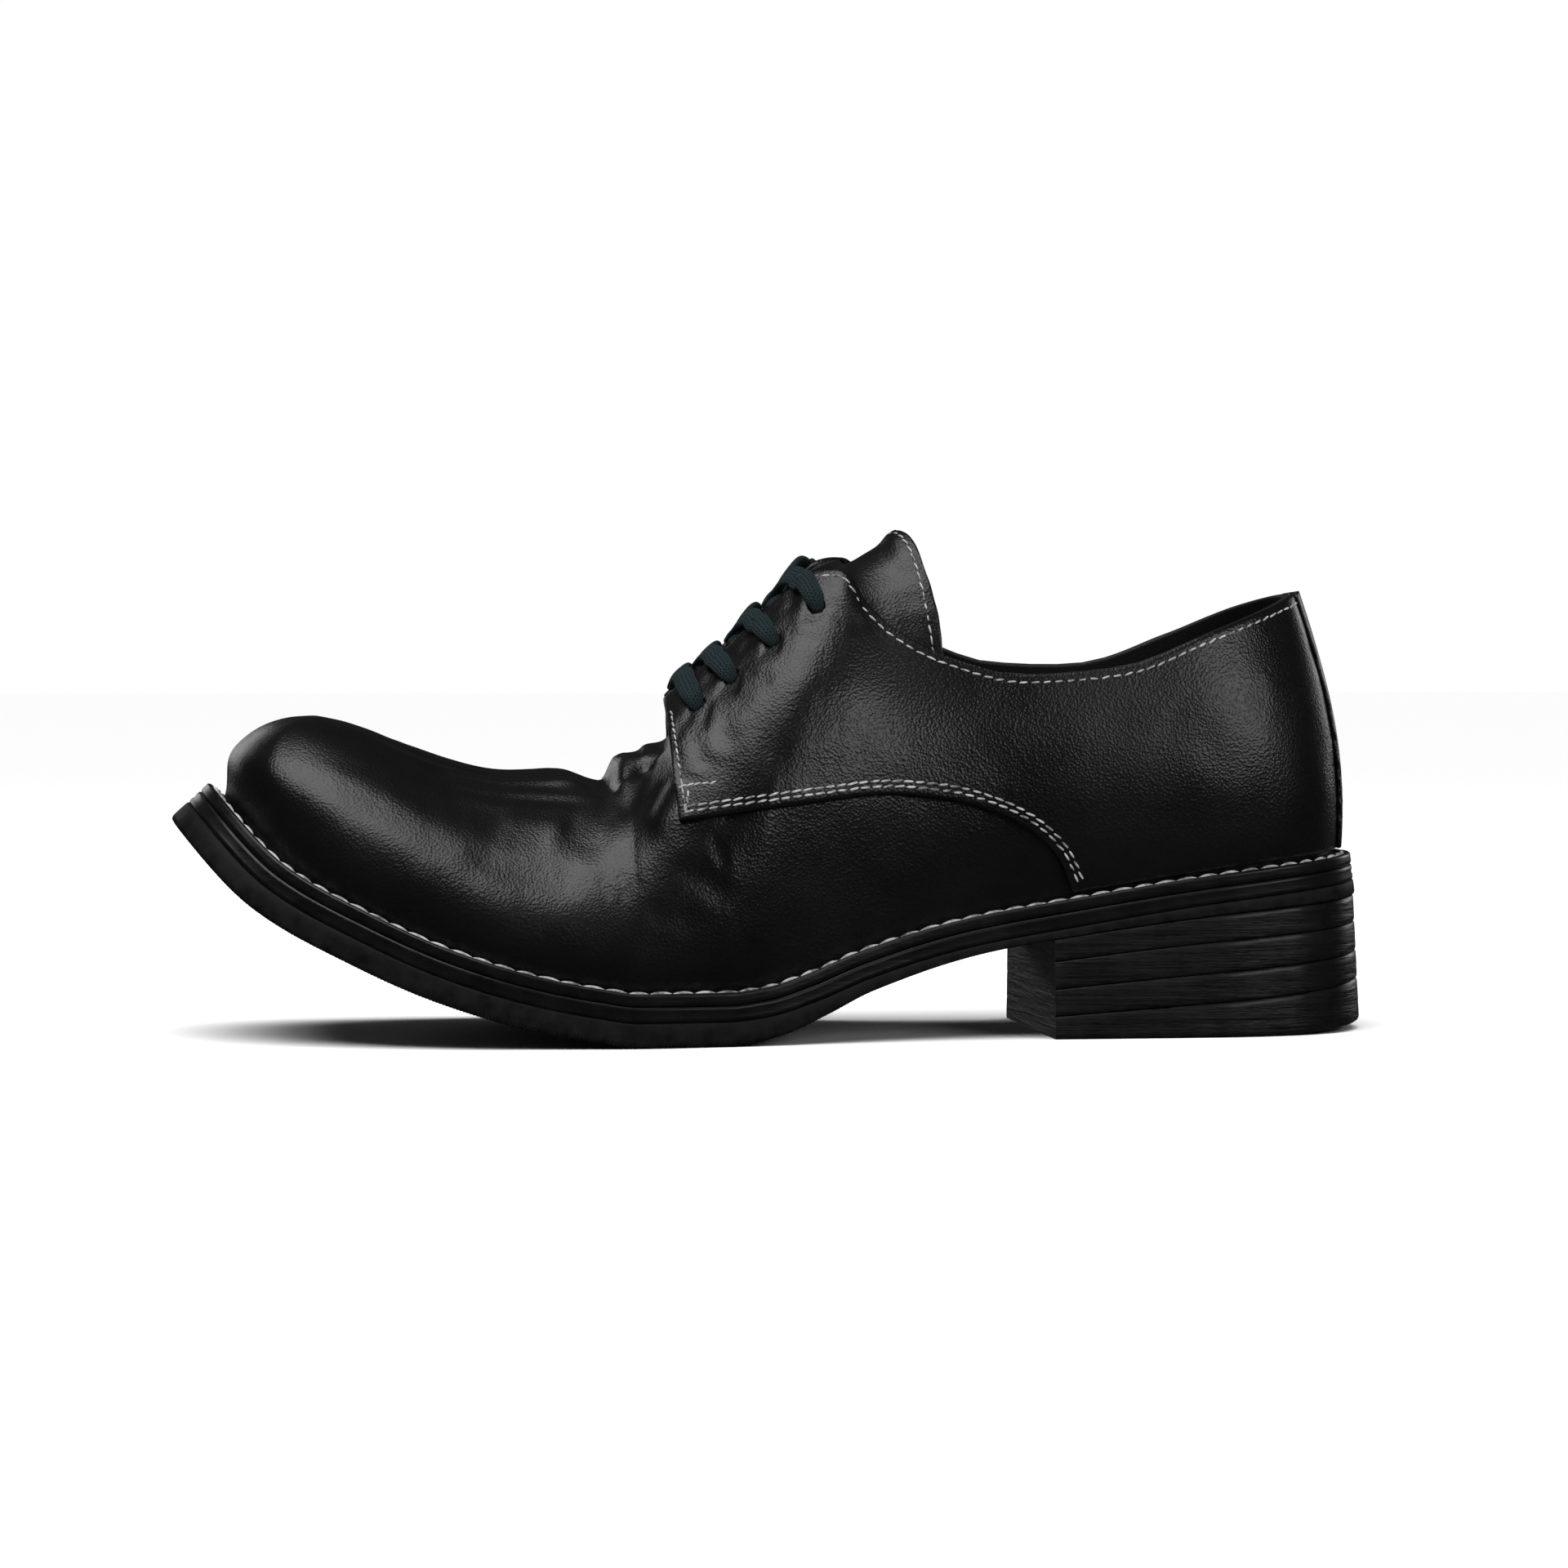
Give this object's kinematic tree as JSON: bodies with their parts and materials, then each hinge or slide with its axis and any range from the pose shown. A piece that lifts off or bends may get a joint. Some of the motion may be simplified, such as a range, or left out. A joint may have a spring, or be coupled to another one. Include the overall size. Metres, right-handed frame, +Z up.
{
  "type": "leather derby shoe",
  "caption": "Left black leather derby shoe with open lacing, high tongue, stitched welt, upturned toe and stacked heel, standing empty on its sole.",
  "frame": {"origin": "middle of the box round the shoe, on the floor", "axes": "toe toward -X, heel toward +X, outer side of the foot toward -Y, +Z up"},
  "size_m": [0.2951, 0.1021, 0.1236],
  "materials": {
    "black_leather": "smooth black calf, fine grain, half gloss",
    "lining": "matt black lining leather",
    "sole_edge": "waxed black sole edge",
    "outsole_rubber": "matt black rubber, fine ribs",
    "stacked_heel": "polished black stacked leather, scuffed",
    "lace": "flat woven cotton, dark blue green",
    "thread": "off-white waxed thread"
  },
  "bodies": {
    "root": {"upper": "black_leather", "quarter_lateral": "black_leather", "quarter_medial": "black_leather", "backstay": "black_leather", "tongue": "black_leather", "insole": "lining", "welt": "sole_edge", "midsole": "sole_edge", "outsole": "outsole_rubber", "heel_lift_1": "stacked_heel", "heel_lift_2": "stacked_heel", "heel_lift_3": "stacked_heel", "heel_top_piece": "outsole_rubber", "lace_bar_1": "lace", "lace_crossing_2": "lace", "lace_crossing_3": "lace", "lace_crossing_4": "lace"}
  },
  "joints": []
}
